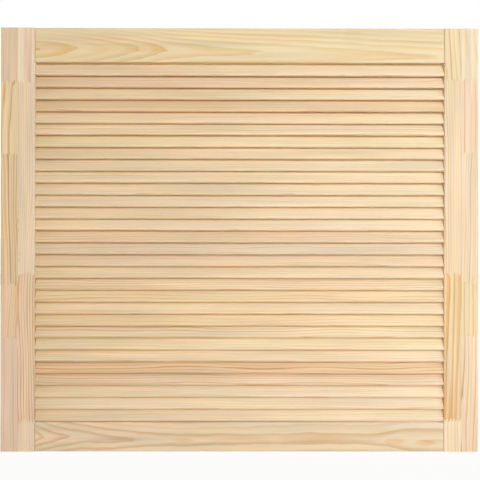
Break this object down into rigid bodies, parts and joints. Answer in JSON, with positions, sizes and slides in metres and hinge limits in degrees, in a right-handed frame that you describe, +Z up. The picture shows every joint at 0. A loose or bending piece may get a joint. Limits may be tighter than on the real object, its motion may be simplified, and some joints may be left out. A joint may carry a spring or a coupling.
{
  "type": "louvred cabinet door",
  "caption": "Louvred pine cabinet door leaf: a plain stile-and-rail frame filled with fixed, overlapping sloping slats, without hinges or handle.",
  "frame": {"origin": "middle of the bottom edge, centred in the width and in the thickness", "axes": "+X to the viewer's right across the width, +Y to the back, +Z up. The front faces -Y."},
  "size_m": [0.444, 0.02, 0.3935],
  "materials": {
    "pine_frame": "planed, unfinished pine",
    "pine_slat": "planed, unfinished pine",
    "beech_dowel": "plain turned dowel"
  },
  "bodies": {
    "root": {"stile_left": "pine_frame", "stile_right": "pine_frame", "rail_top": "pine_frame", "rail_bottom": "pine_frame", "slat_01": "pine_slat", "slat_02": "pine_slat", "slat_03": "pine_slat", "slat_04": "pine_slat", "slat_05": "pine_slat", "slat_06": "pine_slat", "slat_07": "pine_slat", "slat_08": "pine_slat", "slat_09": "pine_slat", "slat_10": "pine_slat", "slat_11": "pine_slat", "slat_12": "pine_slat", "slat_13": "pine_slat", "slat_14": "pine_slat", "slat_15": "pine_slat", "slat_16": "pine_slat", "slat_17": "pine_slat", "slat_18": "pine_slat", "slat_19": "pine_slat", "slat_20": "pine_slat", "slat_21": "pine_slat", "slat_22": "pine_slat", "slat_23": "pine_slat", "slat_24": "pine_slat", "slat_25": "pine_slat", "slat_26": "pine_slat", "slat_27": "pine_slat", "slat_28": "pine_slat", "slat_29": "pine_slat", "slat_30": "pine_slat", "dowel_left_top_1": "beech_dowel", "dowel_left_top_2": "beech_dowel", "dowel_left_bottom_1": "beech_dowel", "dowel_left_bottom_2": "beech_dowel", "dowel_right_top_1": "beech_dowel", "dowel_right_top_2": "beech_dowel", "dowel_right_bottom_1": "beech_dowel", "dowel_right_bottom_2": "beech_dowel"}
  },
  "joints": []
}
